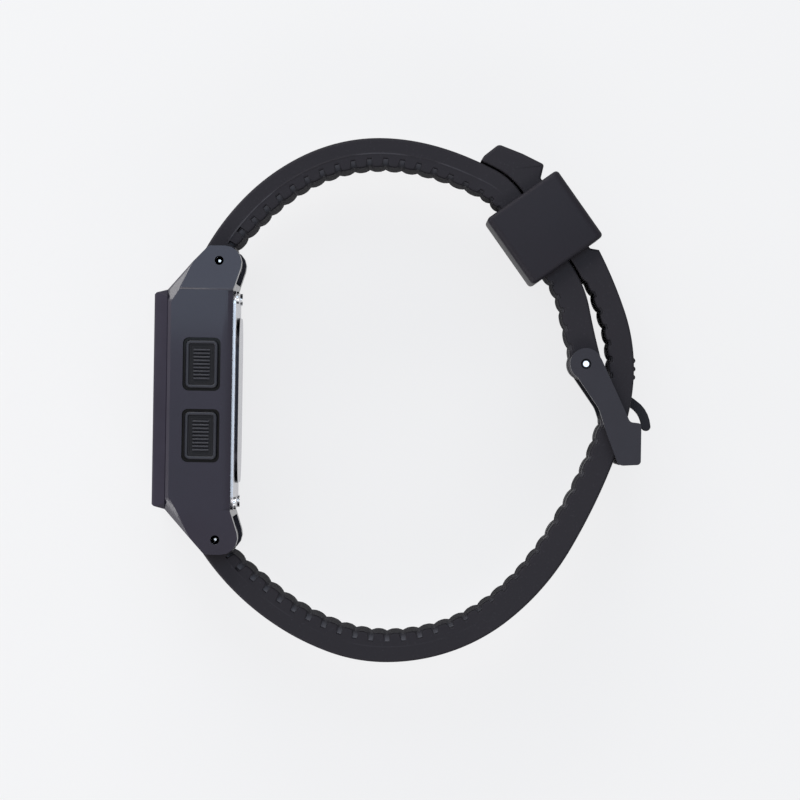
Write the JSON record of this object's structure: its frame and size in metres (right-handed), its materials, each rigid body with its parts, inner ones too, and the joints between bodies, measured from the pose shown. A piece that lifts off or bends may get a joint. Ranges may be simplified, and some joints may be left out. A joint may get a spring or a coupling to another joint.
{
  "type": "digital wristwatch",
  "caption": "Digital wristwatch with a sloped case, side pushers and a ribbed rubber strap, buckled and lying on its side.",
  "frame": {"origin": "centre of the object's box, on the plane it lies on: the 9 o'clock side of the case", "axes": "+Z from the 9 to the 3 o'clock side, +Y towards 12 o'clock, -X the way the dial faces"},
  "size_m": [0.0772, 0.0812, 0.037],
  "materials": {
    "case_resin": "satin",
    "pusher_resin": "satin",
    "glass": "clear",
    "strap_rubber": "matte",
    "seal_rubber": "matte",
    "connector_rubber": "matte",
    "buckle_coating": "satin",
    "steel": "brushed",
    "spring_wire": "bright",
    "mask_black": "matte",
    "lcd_glass": "gloss",
    "diffuser": "matte",
    "board": "satin",
    "chip": "matte",
    "brass": "satin"
  },
  "bodies": {
    "watch": {"case_body": "case_resin", "bezel": "case_resin", "crystal": "glass", "crystal_gasket": "seal_rubber", "display_mask": "mask_black", "lcd_cell": "lcd_glass", "backlight_panel": "diffuser", "display_connectors": "connector_rubber", "module_frame": "diffuser", "circuit_board": "board", "driver_chip": "chip", "quartz_crystal": "steel", "pusher_contacts": "brass", "battery": "steel", "battery_clip": "steel", "buzzer_disc": "brass", "buzzer_spring": "brass", "back_gasket": "seal_rubber", "case_back": "steel", "back_screws": "steel", "pusher_right_upper_seal": "seal_rubber", "pusher_right_upper_spring": "spring_wire", "pusher_right_lower_seal": "seal_rubber", "pusher_right_lower_spring": "spring_wire", "pusher_left_upper_seal": "seal_rubber", "pusher_left_upper_spring": "spring_wire", "pusher_left_lower_seal": "seal_rubber", "pusher_left_lower_spring": "spring_wire", "bar_upper_tube": "steel", "bar_upper_spring": "spring_wire", "bar_lower_tube": "steel", "bar_lower_spring": "spring_wire", "strap_short": "strap_rubber", "strap_long": "strap_rubber"},
    "pusher_right_upper_body": {"pusher_right_upper": "pusher_resin", "pusher_right_upper_clip": "steel"},
    "pusher_right_lower_body": {"pusher_right_lower": "pusher_resin", "pusher_right_lower_clip": "steel"},
    "pusher_left_upper_body": {"pusher_left_upper": "pusher_resin", "pusher_left_upper_clip": "steel"},
    "pusher_left_lower_body": {"pusher_left_lower": "pusher_resin", "pusher_left_lower_clip": "steel"},
    "bar_upper_tip_right_body": {"bar_upper_tip_right": "steel"},
    "bar_upper_tip_left_body": {"bar_upper_tip_left": "steel"},
    "bar_lower_tip_right_body": {"bar_lower_tip_right": "steel"},
    "bar_lower_tip_left_body": {"bar_lower_tip_left": "steel"},
    "buckle": {"buckle_frame": "buckle_coating", "buckle_pin": "steel"},
    "tongue_body": {"tongue": "buckle_coating"},
    "keeper_body": {"keeper": "strap_rubber"}
  },
  "joints": [
    {"name": "pusher_right_upper_press", "type": "slide", "parent": "watch", "child": "pusher_right_upper_body", "axis": [0, 0, -1], "range_m": [0, 0.0008], "stiffness_N_per_m": 1500, "springref_m": -0.0006, "deforming": ["pusher_right_upper_spring"]},
    {"name": "pusher_right_lower_press", "type": "slide", "parent": "watch", "child": "pusher_right_lower_body", "axis": [0, 0, -1], "range_m": [0, 0.0008], "stiffness_N_per_m": 1500, "springref_m": -0.0006, "deforming": ["pusher_right_lower_spring"]},
    {"name": "pusher_left_upper_press", "type": "slide", "parent": "watch", "child": "pusher_left_upper_body", "axis": [0, 0, 1], "range_m": [0, 0.0008], "stiffness_N_per_m": 1500, "springref_m": -0.0006, "deforming": ["pusher_left_upper_spring"]},
    {"name": "pusher_left_lower_press", "type": "slide", "parent": "watch", "child": "pusher_left_lower_body", "axis": [0, 0, 1], "range_m": [0, 0.0008], "stiffness_N_per_m": 1500, "springref_m": -0.0006, "deforming": ["pusher_left_lower_spring"]},
    {"name": "bar_upper_tip_right_slide", "type": "slide", "parent": "watch", "child": "bar_upper_tip_right_body", "axis": [0, 0, -1], "range_m": [0, 0.0017], "stiffness_N_per_m": 1200, "springref_m": -0.0008, "deforming": ["bar_upper_spring"]},
    {"name": "bar_upper_tip_left_slide", "type": "slide", "parent": "watch", "child": "bar_upper_tip_left_body", "axis": [0, 0, 1], "range_m": [0, 0.0017], "stiffness_N_per_m": 1200, "springref_m": -0.0008, "deforming": ["bar_upper_spring"]},
    {"name": "bar_lower_tip_right_slide", "type": "slide", "parent": "watch", "child": "bar_lower_tip_right_body", "axis": [0, 0, -1], "range_m": [0, 0.0017], "stiffness_N_per_m": 1200, "springref_m": -0.0008, "deforming": ["bar_lower_spring"]},
    {"name": "bar_lower_tip_left_slide", "type": "slide", "parent": "watch", "child": "bar_lower_tip_left_body", "axis": [0, 0, 1], "range_m": [0, 0.0017], "stiffness_N_per_m": 1200, "springref_m": -0.0008, "deforming": ["bar_lower_spring"]},
    {"name": "buckle_hinge", "type": "hinge", "parent": "watch", "child": "buckle", "pos_m": [0.02807, 0.0061, 0.0185], "axis": [0, 0, 1], "range_deg": [0, 5]},
    {"name": "tongue_hinge", "type": "hinge", "parent": "buckle", "child": "tongue_body", "pos_m": [0.02807, 0.0061, 0.0185], "axis": [0, 0, 1], "range_deg": [0, 3]},
    {"name": "keeper_slide", "type": "slide", "parent": "watch", "child": "keeper_body", "axis": [0.5878, -0.809, 0], "range_m": [-0.0003, 0.0003]}
  ]
}
